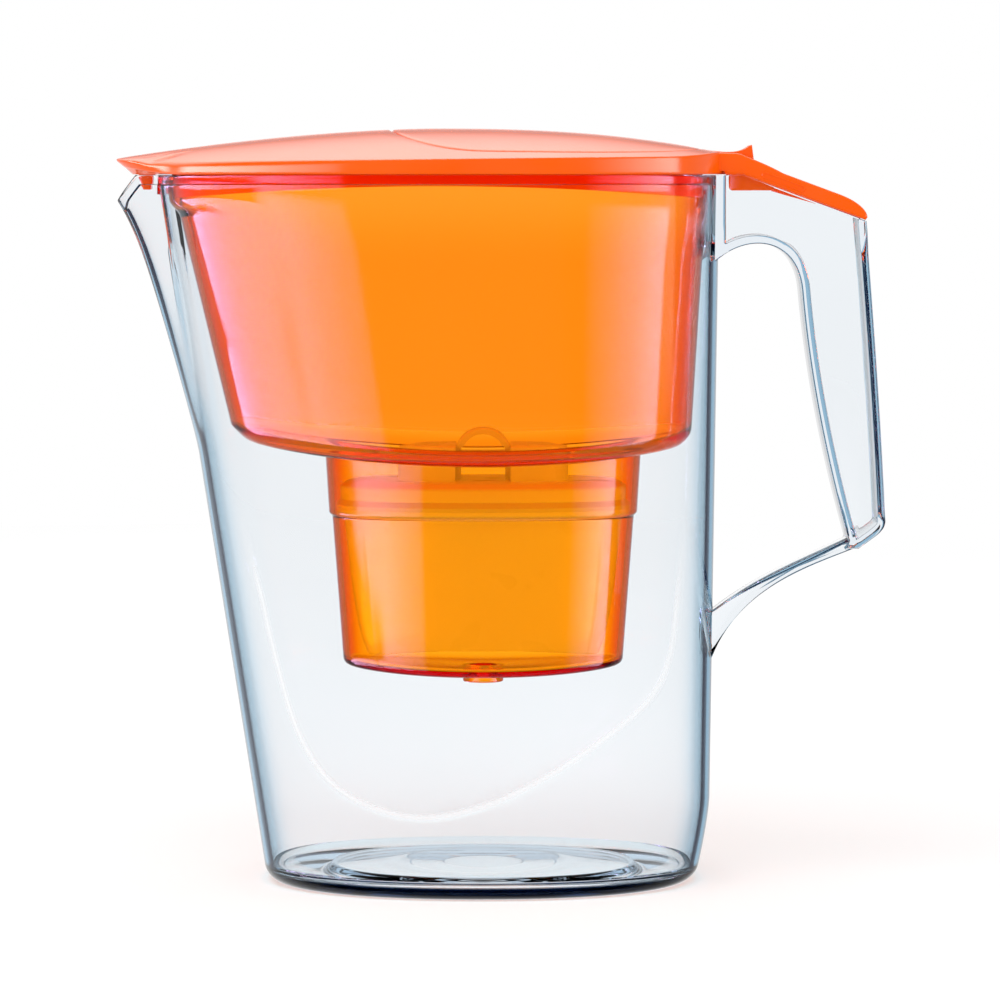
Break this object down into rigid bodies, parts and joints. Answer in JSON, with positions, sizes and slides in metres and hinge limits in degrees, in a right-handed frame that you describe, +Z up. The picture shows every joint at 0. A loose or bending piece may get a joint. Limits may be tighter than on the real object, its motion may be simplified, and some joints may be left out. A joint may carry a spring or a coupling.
{
  "type": "water filter pitcher",
  "caption": "Clear oval jug with a hollow handle, an orange filter funnel with a drop-in cartridge, and an orange lid with a hinged filling flap and a thumb lever.",
  "frame": {"origin": "centre of the jug's foot, in the plane it stands on", "axes": "+Z up, -X towards the spout, +X towards the handle, Y across the width; every piece is symmetric about Y = 0"},
  "size_m": [0.2545, 0.1128, 0.2493],
  "materials": {
    "clear_plastic": "clear, polished, faint blue tint",
    "orange_plastic": "opaque, satin gloss",
    "orange_tinted_plastic": "tinted, see-through, glossy",
    "white_plastic": "opaque, satin",
    "seal_rubber": "matt, soft",
    "mesh": "fine woven mesh",
    "granules": "packed dark and pale granules"
  },
  "bodies": {
    "jug": {"jug": "clear_plastic"},
    "funnel": {"funnel": "orange_tinted_plastic"},
    "lid": {"lid": "orange_plastic"},
    "flap": {"flip_lid": "orange_plastic"},
    "cartridge": {"cartridge_shell": "white_plastic", "cartridge_cover": "white_plastic", "cartridge_seal": "seal_rubber", "intake_mesh": "mesh", "outlet_mesh": "mesh", "filter_media": "granules"}
  },
  "joints": [
    {"name": "funnel_lift", "type": "slide", "parent": "jug", "child": "funnel", "axis": [0, 0, 1], "range_m": [0, 0.18]},
    {"name": "lid_lift", "type": "slide", "parent": "funnel", "child": "lid", "axis": [0, 0, 1], "range_m": [0, 0.12]},
    {"name": "flap_hinge", "type": "hinge", "parent": "lid", "child": "flap", "pos_m": [0.07852, 0, 0.2384], "axis": [0, 1, 0], "range_deg": [0, 45]},
    {"name": "cartridge_pull", "type": "slide", "parent": "funnel", "child": "cartridge", "axis": [0, 0, 1], "range_m": [0, 0.07]}
  ]
}
